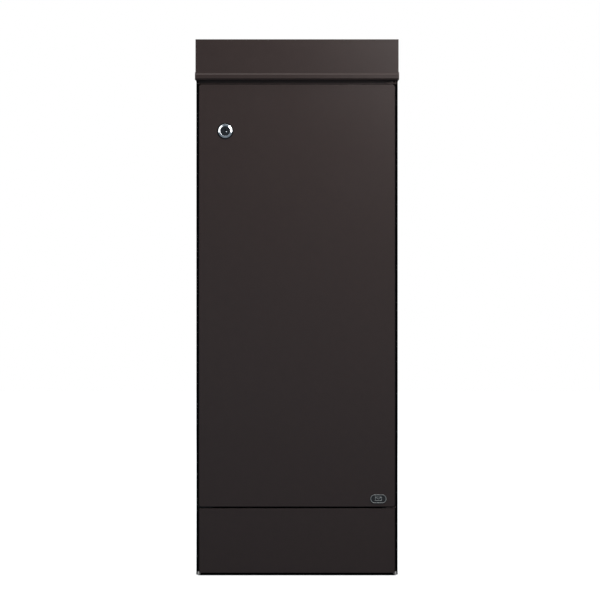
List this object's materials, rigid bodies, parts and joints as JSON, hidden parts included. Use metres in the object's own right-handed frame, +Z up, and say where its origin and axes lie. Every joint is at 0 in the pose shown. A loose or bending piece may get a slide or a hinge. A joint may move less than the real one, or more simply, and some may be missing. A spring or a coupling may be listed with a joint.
{
  "type": "parcel drop box",
  "caption": "Free-standing lockable parcel drop box: hinged lid with a tipping hopper, inset keyed front door and a plinth, in dark brown powder-coated sheet.",
  "frame": {"origin": "middle of the footprint on the floor: centre of the bounding box in X and Y, at its bottom", "axes": "+Z up, the front door faces -Y, +X to the viewer's right; the lid's hinge line runs along X at the top rear"},
  "size_m": [0.4146, 0.385, 1.081],
  "materials": {
    "powder_coat": "satin",
    "inner_coat": "satin",
    "zinc_plate": "satin",
    "lock_chrome": "gloss",
    "lock_dark": "satin",
    "black_rubber": "matte",
    "nylon": "matte",
    "badge_metal": "satin"
  },
  "bodies": {
    "cabinet": {"side_panel_left": "powder_coat", "side_panel_right": "powder_coat", "back_panel": "powder_coat", "plinth_panel": "powder_coat", "door_post_left": "powder_coat", "door_post_right": "powder_coat", "door_head": "powder_coat", "front_header": "powder_coat", "rear_rail": "powder_coat", "upper_hinge_bracket": "powder_coat", "lower_hinge_bracket": "powder_coat", "door_pivot_pins": "powder_coat", "base_plate": "inner_coat", "fishing_guard": "inner_coat", "floor_tray": "inner_coat", "plinth_screws": "zinc_plate", "lock_strike": "zinc_plate", "back_rivets": "zinc_plate", "frame_rivets": "zinc_plate", "lid_pivot_bolts": "zinc_plate", "lid_pivot_washers": "zinc_plate", "lid_pivot_nuts": "zinc_plate", "floor_mat": "black_rubber", "door_seal": "black_rubber", "lid_buffers": "black_rubber"},
    "lid": {"lid_shell": "powder_coat", "lid_pivot_bushes": "nylon", "hopper_floor": "inner_coat", "hopper_cheek_left": "inner_coat", "hopper_cheek_right": "inner_coat", "hopper_rivets": "zinc_plate", "hopper_stop_pads": "black_rubber"},
    "door": {"door_panel": "powder_coat", "door_stiffener_upper": "powder_coat", "door_stiffener_lower": "powder_coat", "door_hinge_plate_top": "zinc_plate", "door_hinge_plate_bottom": "zinc_plate", "door_pivot_bushes": "nylon", "door_bumpers": "black_rubber", "door_badge": "badge_metal", "lock_collar": "black_rubber", "lock_housing": "lock_chrome", "lock_nut": "zinc_plate"},
    "lock_plug": {"lock_cylinder": "lock_dark", "lock_cam": "zinc_plate", "cam_washer": "zinc_plate", "cam_screw": "zinc_plate"}
  },
  "joints": [
    {"name": "lid_hinge", "type": "hinge", "parent": "cabinet", "child": "lid", "pos_m": [0, 0.1745, 1.063], "axis": [-1, 0, 0], "range_deg": [0, 70]},
    {"name": "door_hinge", "type": "hinge", "parent": "cabinet", "child": "door", "pos_m": [0.19125, -0.1785, 0.56], "axis": [0, 0, 1], "range_deg": [0, 110]},
    {"name": "lock_turn", "type": "hinge", "parent": "door", "child": "lock_plug", "pos_m": [-0.145, -0.172, 0.896], "axis": [0, 1, 0], "range_deg": [0, 90]}
  ]
}
